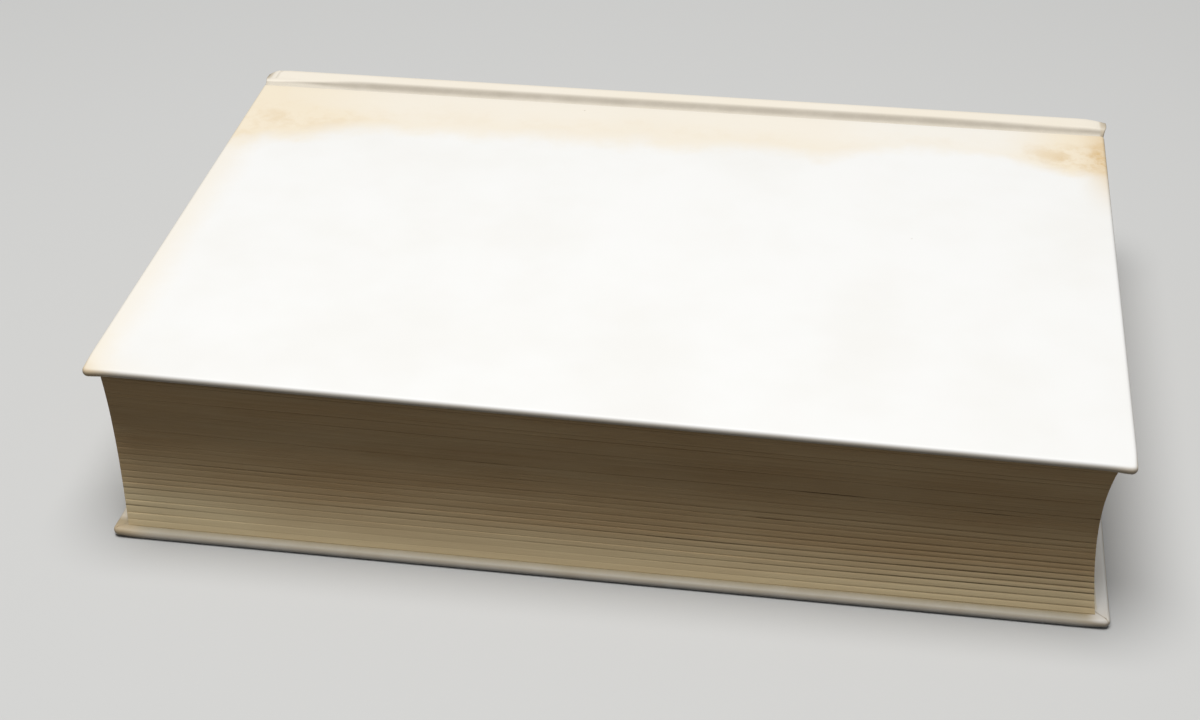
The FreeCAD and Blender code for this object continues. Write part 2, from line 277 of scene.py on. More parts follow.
def agedPaper(finish, x, y, broad, patch, spots, ragged):
    # Cream along the joint and the borders, with brown tide marks where the joint meets head and tail
    look = coverFinish
    half = book["halfLength"]
    fromJoint = book["jointSide"] - y
    head = finish.fade(x, 90, 117)
    tail = finish.fade(x, -66, -114)
    weak = finish.fade(abs(x - 76), 36, 10)
    reach = look["bandWidth"] + tail * 8 - weak * 8 - head * 1.5
    depth = (fromJoint + ragged) / reach
    band = finish.fade(depth, 1.35, 0.78)
    tide = band * finish.fade(depth, 0.2, 0.85)
    tailEdge = finish.fade(half + x + ragged * 0.4, 11, -1)
    headEdge = finish.fade(half - x + ragged * 0.3, 9, -1) * finish.fade(fromJoint, 46, 14)
    nearCorner = finish.fade(half + x + (y - book["foreSide"]) * 1.2 + ragged * 0.5, 26, 2)
    strength = 0.58 + head * 0.5 + tail * 0.36 - weak * 0.24
    toning = band * strength + tide * (0.1 + tail * 0.26 + head * 0.2)
    toning = toning + tailEdge * 0.46 + nearCorner * 0.3 + headEdge * 0.7
    onBoard = finish.fade(fromJoint, -1.1, 0.7)
    toning = toning * onBoard + (1 - onBoard) * (0.5 + broad * 0.3)
    base = finish.mixed(finish.fade(broad, 0.3, 0.75), look["paper"], look["dull"])
    base = finish.mixed(toning, base, look["toned"])
    foxing = tide * (head * 0.65 + tail * 0.26 + 0.06) * finish.fade(patch, 0.42, 0.68)
    foxing = foxing + tide * head * finish.fade(spots, 0.52, 0.72) * 0.3 + headEdge * patch * 0.8
    foxing = foxing + band * finish.fade(x, 108, 121) * 0.2
    return finish.mixed(foxing * onBoard, base, look["foxed"]), toning


def handledEdges(finish, base, x, y, z, patch, ragged):
    # Painted shade in the pressed groove, on the ledge inside the cover, under the front cover's edge, in
    # the mitre and in the tail's crease; soil and painted warm shade on the board edges, and brown corners
    look = coverFinish
    inside = book["boardThick"]
    fromSide = book["halfLength"] - abs(x)
    fromFore = y - book["foreSide"]
    intoJoint = y - book["jointSide"]
    slope = book["swelling"] / book["halfLength"] / book["boardWidth"]
    lifted = x * intoJoint * slope     # the front cover lies on the swollen leaves
    level = finish.math("MINIMUM", z, book["thick"] + lifted - z)
    # painted shade: grey in the pressed groove, where the joint lies in shade
    wide = 1.1 + finish.fade(x, -119, -90) * 2.9 - finish.fade(x, 70, 118) * 0.9
    groove = finish.fade(intoJoint, -0.3, 0.9) * 0.42 + finish.fade(intoJoint, 1.7, 3.5) * 0.58
    groove = groove * finish.fade((intoJoint - 1.5) / wide, 1.15, 0.55)
    base = finish.mixed(groove * (0.78 + patch * 0.4), base, look["shadeGrey"])
    # painted shade on the ledge inside the cover, deeper further in towards the leaves
    ledge = finish.fade(level, inside - 0.9, inside - 0.1) * finish.fade(fromFore, 6, 3.5)
    ledge = ledge * finish.fade(x, 118, 114)
    ledge = ledge * (0.62 + patch * 0.3 + finish.fade(fromFore, 0.8, 2.6) * 0.25)
    base = finish.mixed(ledge, base, look["ledge"])
    nearest = finish.math("MINIMUM", fromSide, fromFore)
    # soil on the worn board edges, and painted warm shade on their rounded underside
    edgeSoilAndShade = finish.fade(nearest, 1.2, 0.3) * finish.fade(level, 0.2, 1.0)
    edgeSoilAndShade = edgeSoilAndShade * finish.fade(level, inside + 0.1, inside - 0.5)
    base = finish.mixed(edgeSoilAndShade * (0.35 + patch * 0.5), base, look["soilAndWarmShade"])
    # painted shade under the front cover's edge
    shadeUnderEdge = edgeSoilAndShade * finish.fade(level, 0.9, 1.6) * finish.fade(z, book["middle"], book["middle"] + 9)
    base = finish.mixed(shadeUnderEdge * 0.65, base, look["shadeUnderEdge"])
    # painted shade in the mitre fold of the turn-ins
    mitre = finish.fade(abs(fromSide - fromFore), 0.4, 0.05) * finish.fade(level, inside - 0.6, inside - 0.2)
    base = finish.mixed(mitre * finish.fade(fromFore, 16, 13) * 0.6, base, look["shadeGrey"])
    atTail = finish.fade(x, 5, -5)
    brown = atTail * finish.fade(level, 0.05, 0.7) * 0.5
    brown = brown + (1 - atTail) * finish.fade(level, 0.75, 1.4) * 0.25
    tip = finish.fade(fromSide + fromFore + ragged * 0.2, 11, 1) * brown
    base = finish.mixed(tip, base, look["foxed"])
    # painted shade in the crease near the tail end, in the colour of the specks
    crease = finish.fade(abs(fromSide - 2.6 - (patch - 0.5) * 2), 0.6, 0.0) * finish.fade(intoJoint, 3, 5)
    crease = crease * finish.fade(x, 0, -9) * finish.fade(level, 8, 3)
    return finish.mixed(crease * 0.25, base, look["dustAndCreaseShade"]), crease


def coverPaper(name, where):
    # Smooth off-white paper; a shift gives each piece other patterns
    finish = Finish(name)
    look = coverFinish
    shift = look["shift"][where]
    rest = finish.attribute("rest")
    x, y, z = finish.parts(rest)
    moved = finish.node("VectorMath", {"operation": "ADD"}, {0: rest, 1: (shift, 0, 0)})
    broad = finish.cloud(moved, 0.03, 3, 0.55)
    patch = finish.cloud(moved, 0.13, 4, 0.65)
    spots = finish.cloud(moved, 0.42, 4, 0.7)
    fibre = finish.cloud(finish.stretched(moved, 1, 1.6, 1), 2.2, 3, 0.6)
    grain = finish.cloud(moved, 9.0, 2, 0.5)
    ragged = (broad - 0.5) * 18 + (patch - 0.5) * 10
    base, toning = agedPaper(finish, x, y, broad, patch, spots, ragged)
    speck = finish.node("TexVoronoi", {"feature": "F1"}, {"Vector": moved, "Scale": 0.05})
    base = finish.mixed(finish.fade(speck, 0.016, 0.008) * 0.5, base, look["dustAndCreaseShade"])
    base, crease = handledEdges(finish, base, x, y, z, patch, ragged)
    shine = look["roughness"] + (patch - 0.5) * 0.1 + toning * 0.08
    return finish.surface(base, shine, [(broad, 0.10), (fibre, 0.010), (grain, 0.003), (crease, -0.12)],
                          Specular_IOR_Level=0.42)


pagesFinish = {
    "paper": (0.585, 0.405, 0.215, 1),
    "shaded": (0.48, 0.318, 0.155, 1),
    "line": (0.125, 0.07, 0.03, 1),
    "pale": (0.79, 0.638, 0.385, 1),
}


def pageEdges():
    # Cut edges of the leaves: long fine lines, painted shade in the gap where two sections stand apart and
    # under the cover, and painted light on the lower sections and the tail end
    finish = Finish("page_edges")
    look = pagesFinish
    leaf = finish.attribute("leaf")
    along, opened, section = finish.parts(leaf)
    flat = finish.joined(along, 0.0, section)
    fine = finish.cloud(finish.stretched(flat, 0.018, 0, 4.0), 1.0, 4, 0.65)
    leaves = finish.cloud(finish.stretched(flat, 0.04, 0, 13.0), 1.0, 2, 0.6)
    broad = finish.cloud(finish.stretched(flat, 0.02, 0, 0.22), 1.0, 3, 0.55)
    grain = finish.cloud(finish.stretched(flat, 0.9, 0, 5.0), 1.0, 3, 0.6)
    base = finish.mixed(finish.fade(fine, 0.25, 0.75), look["shaded"], look["paper"])
    base = finish.mixed(finish.fade(leaves, 0.5, 0.85) * 0.35, base, look["pale"])
    # painted light: the lower sections and the tail end are paler where more light falls; the broad cloud is
    # tone at random
    pale = finish.fade(broad, 0.3, 0.7) * 0.25 + finish.fade(section, 10, -0.5) * 0.8
    pale = pale + finish.fade(along, -70, -116) * finish.fade(section, 14, 2) * 0.55
    base = finish.mixed(pale, base, look["pale"])
    base = finish.mixed(finish.fade(grain, 0.55, 0.8) * 0.12, base, look["shaded"])
    # painted shade in the gaps where sections stand apart
    gap = abs(finish.math("FRACT", section + 0.5) - 0.5)
    line = finish.fade(gap / (opened * 0.17 + 0.05), 1.0, 0.1) * finish.fade(opened, 0.0, 0.85)
    base = finish.mixed(line * (0.62 + fine * 0.3), base, look["line"])
    last = pages["sections"]
    # painted shade on the top sections under the cover
    under = finish.fade(section, last - 1.8, last - 0.1) * 0.62 + finish.fade(section, last - 6, last) * 0.2
    base = finish.mixed(under, base, look["line"])
    height = fine * 0.04 + leaves * 0.035 + grain * 0.012
    return finish.surface(base, 0.85, [(height, 1.0)], Specular_IOR_Level=0.25)


plainFinish = {
    "endpaper": [(0.80, 0.77, 0.69, 1), (0.84, 0.82, 0.75, 1)],
    "endpaperEdge": (0.72, 0.64, 0.49, 1),
    "greyboard": [(0.34, 0.31, 0.27, 1), (0.46, 0.43, 0.38, 1)],
    "fleck": (0.16, 0.14, 0.12, 1),
    "card": [(0.50, 0.44, 0.34, 1), (0.61, 0.55, 0.44, 1)],
    "kraft": [(0.40, 0.27, 0.155, 1), (0.50, 0.36, 0.22, 1)],
    "gauze": [(0.42, 0.36, 0.27, 1), (0.78, 0.74, 0.66, 1)],
    "thread": [(0.70, 0.65, 0.54, 1), (0.82, 0.78, 0.68, 1)],
    "floor": [(0.60, 0.60, 0.59, 1), (0.56, 0.56, 0.55, 1)],
}


def endPaper():
    finish = Finish("endpaper")
    rest = finish.attribute("rest")
    x, y, z = finish.parts(rest)
    broad = finish.cloud(rest, 0.03, 3, 0.5)
    fibre = finish.cloud(rest, 1.6, 4, 0.65)
    edge = finish.fade(abs(x), 96, 122) + finish.fade(y, -66, -86)
    cut = finish.fade(y, leafLow[1] + 0.2, leafLow[1] + 0.02)
    base = finish.mixed(finish.fade(broad, 0.3, 0.7), *plainFinish["endpaper"])
    base = finish.mixed(edge * 0.35, base, plainFinish["endpaperEdge"])
    base = finish.mixed(cut, base, pagesFinish["pale"])
    return finish.surface(base, 0.72, [(fibre, 0.012), (broad, 0.1)], Specular_IOR_Level=0.3)


def greyBoard(name):
    finish = Finish(name)
    place = finish.attribute("rest")
    fibre = finish.cloud(finish.stretched(place, 1, 1.5, 6), 1.6, 5, 0.7)
    fleck = finish.cloud(place, 3.5, 2, 0.5)
    base = finish.mixed(finish.fade(fibre, 0.35, 0.65), *plainFinish["greyboard"])
    base = finish.mixed(finish.fade(fleck, 0.66, 0.74) * 0.6, base, plainFinish["fleck"])
    return finish.surface(base, 0.9, [(fibre, 0.08)], Specular_IOR_Level=0.2)


def cardStock():
    finish = Finish("card")
    place = finish.attribute("rest")
    fibre = finish.cloud(finish.stretched(place, 1, 2, 2), 1.2, 4, 0.6)
    base = finish.mixed(finish.fade(fibre, 0.3, 0.7), *plainFinish["card"])
    return finish.surface(base, 0.85, [(fibre, 0.04)], Specular_IOR_Level=0.2)


def kraftPaper():
    finish = Finish("kraft")
    place = finish.framePlace()
    ribs = finish.node("TexWave", {"wave_type": "BANDS", "bands_direction": "X"},
                       {"Vector": place, "Scale": 0.5, "Distortion": 0.6})
    fibre = finish.cloud(place, 1.5, 4, 0.65)
    base = finish.mixed(finish.fade(fibre, 0.3, 0.7), *plainFinish["kraft"])
    return finish.surface(base, 0.8, [(ribs, 0.02), (fibre, 0.02)], Specular_IOR_Level=0.25)


def gauze(name, onFrame):
    # Open-weave starched cotton
    finish = Finish(name)
    place = finish.framePlace() if onFrame else finish.attribute("rest")
    x, y, z = finish.parts(place)
    around = y + z
    warp = abs(finish.math("SINE", x * 3.6))
    weft = abs(finish.math("SINE", around * 3.6))
    thread = finish.math("MAXIMUM", 1 - warp, 1 - weft)
    fuzz = finish.cloud(place, 4.0, 2, 0.6)
    base = finish.mixed(finish.fade(thread, 0.25, 0.7), *plainFinish["gauze"])
    return finish.surface(base, 0.9, [(thread, 0.12), (fuzz, 0.03)], Specular_IOR_Level=0.2)


def bandThread():
    finish = Finish("band_thread")
    rest = finish.attribute("rest")
    fuzz = finish.cloud(rest, 5.0, 3, 0.6)
    base = finish.mixed(fuzz, *plainFinish["thread"])
    return finish.surface(base, 0.7, [(fuzz, 0.03)], Specular_IOR_Level=0.35)


# Camera at the photograph's viewing angle

view = {
    "place": (59.08, -431.48, 314.2),
    "forward": (-0.13313, 0.80665, -0.57584),
    "right": (0.98802, 0.1538, -0.01298),
    "lens": 59.23,
    "shift": (0.0024, -0.0004),
}
forward = Vector(view["forward"]).normalized()
right = (Vector(view["right"]) - Vector(view["right"]).dot(forward) * forward).normalized()
up = right.cross(forward)
cameraData = bpy.data.cameras.new("camera")
cameraData.sensor_width = 36
cameraData.lens = view["lens"]
cameraData.shift_x, cameraData.shift_y = view["shift"]
cameraData.clip_start = 0.01
camera = bpy.data.objects.new("camera", cameraData)
camera.matrix_world = Matrix.Translation(Vector(view["place"]) * mm) @ Matrix(
    (right, up, -forward)).transposed().to_4x4()
bpy.context.scene.collection.objects.link(camera)
bpy.context.scene.camera = camera
print("camera is set")


# Covers: one sheet of paper round each board, turned in at head, fore-edge and tail

cover = {
    "inset": 2.5,          # the flat grid stops here, and rings go round the edge
    "edgeRadius": 1.0,
    "cornerRadius": 1.6,
    "cornerDroop": 0.38,   # the corners are a little bent in
    "backRadius": 1.0,     # board's edge at the joint
    "grooveRadius": 0.8,
    "grooveDepth": book["boardThick"] - 2 * book["sheet"],
    "grooveEnd": 65.9,     # from here the sheet climbs out of the groove
    "shoulderStart": 69.6,
    "crownDrop": 0.3,
    "rollRadius": 4.0,
    "turnIn": 14.8,
    "turnInRing": 4.0,     # one more ring on the turn-in, which lies flat from there
    "mitreWidth": 0.22,
    "mitreDepth": 0.25,
    "softness": 0.22,      # how softly the joint runs into the roll
    "gridStep": 2.2,
    "boardInset": 2.0,
    "boardStep": 4,
}


def rollLine(y, level, radius):
    # Height of a sheet that lies flat at a level and bends out over the shoulder
    across = book["crownLine"] - y
    if across >= radius:
        return level
    arc = book["rollHeight"] - math.sqrt(radius * radius - across * across)
    return smoothLeast(level, arc, cover["softness"])


def grooveLine(y):
    # Height of the outside of the sheet from the pressed groove to the broad top of the shoulder
    climb = smooth(y, cover["grooveEnd"], cover["shoulderStart"])
    return cover["grooveDepth"] + (cover["crownDrop"] - cover["grooveDepth"]) * climb


def coverProfile():
    # Pairs of points from the fore-edge to the crown line: outside of the sheet, inside of the turn-in
    inside = book["boardThick"]
    edge = book["jointSide"]
    radius = cover["backRadius"]
    pairs = []
    for y in steps(book["foreSide"] + cover["inset"], edge - radius, cover["gridStep"]):
        pairs.append(((y, 0), (y, inside)))
    for degrees in range(12, 91, 13):
        turn = math.radians(degrees)
        y = edge - radius + radius * math.sin(turn)
        pairs.append(((y, radius - radius * math.cos(turn)), (y, inside)))
    radius = cover["grooveRadius"]
    for degrees in range(0, 91, 13):
        turn = math.radians(degrees)
        y = edge + radius - radius * math.cos(turn)
        pairs.append(((y, cover["grooveDepth"] - radius + radius * math.sin(turn)), (y, inside)))
    doubled = 2 * book["sheet"]
    for y in steps(edge + radius, book["crownLine"], 0.2)[1:]:
        pairs.append(((y, grooveLine(y)), (y, grooveLine(y - doubled / 2) + doubled)))
    return pairs


def roundEdge(radius, low, high, size):
    # Inset and height of the rings round a soft edge between two levels, a ring at each angle
    turns = [math.radians(degrees) for degrees in range(0, 91, size)]
    rings = [(radius - radius * math.sin(turn), low + radius - radius * math.cos(turn)) for turn in turns]
    return rings + [(radius - radius * math.sin(turn), high - radius + radius * math.cos(turn))
                    for turn in reversed(turns)]


def rimRings(radius, thick, corner, inset, turnIn):
    # Rings from the flat outside, round the edge and onto the inside: inset and share of the thickness
    rings = [(inset, 0), ((inset + corner) / 2, 0), (corner, 0)]
    rings += roundEdge(radius, 0, thick, 15)
    rings += [(corner, thick), (inset, thick), (cover["turnInRing"], thick), (turnIn, thick)]
    return rings


def between(one, other, distance):
    # The point at a distance from one point towards another
    length = math.dist(one, other)
    share = distance / length
    return one[0] + (other[0] - one[0]) * share, one[1] + (other[1] - one[1]) * share


def capDroop(x):
    # The folded ends of the spine are a little crushed, more at the tail
    tail = 1.7 * smooth(-x, book["halfLength"] - 4.4, book["halfLength"] + 0.8) ** 2
    head = 0.9 * smooth(x, book["halfLength"] - 7, book["halfLength"] + 0.4) ** 2
    return tail + head


def capFlare(x, y):
    # Both ends of the spine stand out a little past the boards
    half = book["halfLength"]
    return (1.1 * smooth(x, half - 8, half) - 1.5 * smooth(-x, half - 6, half)) * smooth(y, 65.5, 72.5)


def lift(x, y):
    # The front cover lies on the leaves, which are a little swollen at the tail and pressed at the head
    share = min(1, max(0, (book["jointSide"] - y) / book["boardWidth"]))
    return -book["swelling"] * x / book["halfLength"] * share


def frontLift(side, x, y):
    # The same for a piece that is drawn for the back cover
    return lift(-x, y) if side == "front" else 0


def boardShift(x, y, seed):
    # The board is never quite flat, and its two free corners are bent in
    flat = 0.05 * (1 + wander(x * 0.013, y * 0.017, seed)) * smooth(y, 66, 62)
    fromCorner = math.hypot(book["halfLength"] - abs(x), y - book["foreSide"])
    return flat + cover["cornerDroop"] * smooth(fromCorner, 9, 1) ** 2


def makeCovering(side, seed):
    shape = Shape()
    pairs = coverProfile()
    half = book["halfLength"]
    inset = cover["inset"]
    columns = steps(-half + inset, half - inset, cover["gridStep"])
    tailwards = 1 if side == "front" else -1

    def settle(x, y, z):
        # It follows the board, and its joint is pressed by hand
        joint = smooth(y, 64.6, 65.4) * smooth(y, 69.6, 67)
        press = joint * (0.14 * wander(x * 0.035, seed) + 0.06 * wander(x * 0.16, 7 + seed))
        shallow = joint * 0.95 * smooth(tailwards * x, half - 27, half - 7)
        crushed = capDroop(-tailwards * x) * smooth(y, 66.5, book["crownLine"])
        x -= tailwards * capFlare(-tailwards * x, y)
        height = max(0.0, z + boardShift(x, y, seed) + press - shallow + crushed)
        return shape.point(x, y, height - frontLift(side, x, y))

    rows = [[settle(x, outer[0], outer[1]) for x in columns] for outer, inner in pairs]
    shape.grid(rows)

    stations = [("side", -1, index) for index in reversed(range(len(pairs)))]
    fan = list(range(0, 91, 15))
    stations += [("corner", -1, degrees) for degrees in fan]
    stations += [("fore", 0, x) for x in columns]
    stations += [("corner", 1, degrees) for degrees in reversed(fan)]
    stations += [("side", 1, index) for index in range(len(pairs))]
    ringCount = len(rimRings(0.3, 1, cover["cornerRadius"], inset, cover["turnIn"]))
    rings = []
    for number in range(ringCount):
        ring = []
        for kind, sign, where in stations:
            outer, inner = pairs[where] if kind == "side" else ((0, 0), (0, book["boardThick"]))
            thick = math.dist(outer, inner)
            radius = min(cover["edgeRadius"], thick / 2)
            apart, depth = rimRings(radius, thick, cover["cornerRadius"], inset, cover["turnIn"])[number]
            mitre = apart + 1.5 * cover["mitreWidth"]
            if kind == "side":
                y, z = between(outer, inner, depth)
                if apart > inset:
                    y = max(y, book["foreSide"] + mitre)
                ring.append(settle(sign * (half - apart), y, z))
            elif kind == "fore":
                x = where
                if apart > inset:
                    x = max(-half + mitre, min(half - mitre, where))
                ring.append(settle(x, book["foreSide"] + apart, depth))
            else:
                corner = cover["cornerRadius"]
                turn = math.radians(where)
                if where == 45:
                    depth -= cover["mitreDepth"] * smooth(depth, thick - 0.6, thick - 0.05)
                if apart < corner:
                    x = half - corner + (corner - apart) * math.cos(turn)
                    y = book["foreSide"] + corner - (corner - apart) * math.sin(turn)
                else:
                    x = half - apart
                    y = book["foreSide"] + apart
                    if depth > 1 and apart > corner:
                        share = (where - 45) / 45
                        width = cover["mitreWidth"]
                        y += width * max(0, -share)
                        x -= width * max(0, share)
                ring.append(settle(sign * x, y, depth))
        rings.append(ring)
    shape.grid(rings)
    return shape.piece(side + "_covering_sheet", turned=side == "front")


def makeBoard(side, seed):
    # Greyboard inside the covering: its edges and corners are as soft as the paper's over them
    shape = Shape()
    sheet = book["sheet"]
    half = book["halfLength"] - sheet
    fore, joint = book["foreSide"] + sheet, book["jointSide"] - sheet
    low, high = sheet, book["boardThick"] - sheet
    inset = cover["boardInset"]
    radius, corner = cover["edgeRadius"] - sheet, cover["cornerRadius"] - sheet
    columns = steps(-half + inset, half - inset, cover["boardStep"])
    lines = steps(fore + inset, joint - inset, cover["boardStep"])

    def outline(apart):
        soft = max(0, corner - apart)
        ring = [(x, fore + apart) for x in columns]
        for across, down, first in ((1, fore, -90), (1, joint, 0), (-1, joint, 90), (-1, fore, 180)):
            x = across * (half - max(apart, corner))
            y = down + max(apart, corner) * (1 if down == fore else -1)
            for degrees in range(first, first + 91, 18):
                turn = math.radians(degrees)
                ring.append((x + soft * math.cos(turn), y + soft * math.sin(turn)))
            if first == -90:
                ring += [(half - apart, y) for y in lines]
            elif first == 0:
                ring += [(x, joint - apart) for x in reversed(columns)]
            elif first == 90:
                ring += [(-half + apart, y) for y in reversed(lines)]
        return ring + ring[:1]

    profile = [(inset, low)] + roundEdge(radius, low, high, 18) + [(inset, high)]

    def settled(x, y, level):
        return shape.point(x, y, level + boardShift(x, y, seed) - frontLift(side, x, y))

    shape.grid([[settled(x, y, level) for x, y in outline(apart)] for apart, level in profile])
    for level in (low, high):
        shape.grid([[settled(x, y, level) for x in columns] for y in lines], flip=level == low)
    return shape.piece(side + "_greyboard", turned=side == "front")


def bendInJoint(sheet, side, first, last):
    # Bakes the sheet's place into its points
    level = (book["thick"] if side == "front" else 0) * mm
    first * mm
    last * mm
    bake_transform(sheet)


for side, seed in (("front", 3.1), ("back", 11.7)):
    board = makeBoard(side, seed)
    wear(board, greyBoard(side + "_greyboard"))
    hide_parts(side + "_board")
    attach(board, side + "_cover")
    covering = makeCovering(side, seed)
    wear(covering, coverPaper(side + "_cover_paper", side))
    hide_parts(side + "_covering")
    bendInJoint(covering, side, book["blendFrom"], book["crownLine"])
print("coverings are made")


# Spine: the same sheet over both shoulders and the rounded back, turned in at head and tail

spine = {
    "shoulder": 4.0,
    "sheetThick": 0.6,
    "capThick": 1.0,
    "inlayThick": 0.4,
    "turnIn": 14.6,
    "inset": 2.5,
}


def backArc(radius, reach):
    # Round back between two shoulders of a radius: its centre past the crown line, and half its angle
    offset = book["middle"] - book["rollHeight"]
    lead = reach - radius
    centre = (lead * lead - offset * offset) / (2 * lead)
    return centre, math.asin(offset / (lead - centre))


def spineCurve(radius, reach):
    # Points and outward directions round a shoulder, the rounded back and the other shoulder
    centre, halfAngle = backArc(radius, reach)
    swing = math.degrees(halfAngle)
    points = []
    for degrees in steps(-90, -swing, 6):
        turn = math.radians(degrees)
        points.append((book["crownLine"] + radius * math.cos(turn),
                       book["rollHeight"] + radius * math.sin(turn), math.cos(turn), math.sin(turn)))
    for degrees in steps(-swing, swing, 1.5)[1:-1]:
        turn = math.radians(degrees)
        points.append((book["crownLine"] + centre + (reach - centre) * math.cos(turn),
                       book["middle"] + (reach - centre) * math.sin(turn), math.cos(turn), math.sin(turn)))
    for degrees in steps(swing, 90, 6):
        turn = math.radians(degrees)
        points.append((book["crownLine"] + radius * math.cos(turn),
                       book["thick"] - book["rollHeight"] + radius * math.sin(turn),
                       math.cos(turn), math.sin(turn)))
    return points


def onSpine(x, place, depth):
    # A point under the case's back: it is a little sunken, and its ends are crushed
    y, z, outY, outZ = place
    middle = smooth(abs(z - book["middle"]), 24, 17)
    depth += 0.1 * middle - 0.12 * wander(x * 0.02, z * 0.06, 5.0) * middle
    depth += capDroop(x) * (1 - 0.55 * middle)
    return x + capFlare(x, y), y - outY * depth, z - outZ * depth


def makeSpine():
    shape = Shape()
    curve = spineCurve(spine["shoulder"], book["spineSide"] - book["crownLine"])
    half = book["halfLength"]
    inset = spine["inset"]
    columns = steps(-half + inset, half - inset, 2.4)
    shape.grid([[shape.point(*onSpine(x, place, 0)) for x in columns] for place in curve])
    for sign in (-1, 1):
        rings = []
        count = len(rimRings(0.3, 1, inset * 0.7, inset, spine["turnIn"]))
        for number in range(count):
            ring = []
            for place in curve:
                middle = smooth(abs(place[1] - book["middle"]), 22, 19)
                thick = spine["sheetThick"] + (spine["capThick"] - spine["sheetThick"]) * middle
                apart, depth = rimRings(thick / 2, thick, inset * 0.7, inset, spine["turnIn"])[number]
                ring.append(shape.point(*onSpine(sign * (half - apart), place, depth)))
            rings.append(ring)
        shape.grid(rings, flip=sign < 0)
    return shape.piece("spine_covering_sheet")


def makeInlay():
    # The card strip that stiffens the case's back
    shape = Shape()
    low, high = span("spine_inlay")
    curve = [place for place in spineCurve(spine["shoulder"], book["spineSide"] - book["crownLine"])
             if low[2] < place[1] < high[2]]
    columns = steps(low[0] + 0.3, high[0] - 0.3, 2.4)
    outer, inner = [[[shape.point(*onSpine(x, place, depth)) for x in columns] for place in curve]
                    for depth in (book["sheet"], book["sheet"] + spine["inlayThick"])]
    shape.grid(outer)
    shape.grid(inner, flip=True)
    shape.grid([inner[0], outer[0]])
    shape.grid([outer[-1], inner[-1]])
    shape.grid([[row[0] for row in outer], [row[0] for row in inner]])
    shape.grid([[row[-1] for row in inner], [row[-1] for row in outer]])
    return shape.piece("card_inlay")


inlay = makeInlay()
wear(inlay, cardStock())
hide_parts("spine_inlay")
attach(inlay, "book_block")
spineSheet = makeSpine()
wear(spineSheet, coverPaper("spine_paper", "spine"))
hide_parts("spine_covering")
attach(spineSheet, "book_block")
print("spine is made")


# Pages: sewn sections, each with its own slightly bulging edge, rounded and backed

pages = {
    "sections": 30,
    "low": leafHigh[2],
    "high": book["thick"] - leafHigh[2],
    "foreSide": leafLow[1],
    "half": leafHigh[0],
    "hollow": 5.0,
    "slip": 1.7,
    "shoulderLine": leafHigh[1],
    "backRadius": 2.5,
    "backReach": 7.7,
    "bulge": 0.06,         # a section's edge stands this far proud of the gaps beside it
    "gapDepth": 0.42,
    "gapShare": 0.045,     # of a section's thickness
    "uneven": 0.09,        # sections stand in and out by this much
    "wave": 0.22,          # the lines between them wander up and down
    "tightFrom": 0.44,     # above this share of the height most of the sections lie tight
    "profile": [0, 0.04, 0.1, 0.3, 0.5, 0.7, 0.9, 0.96],
    "endPlace": 160,       # where the lines of the head and the tail are read, past the fore-edge's
    "endMark": 200,        # and the same for their finish
}


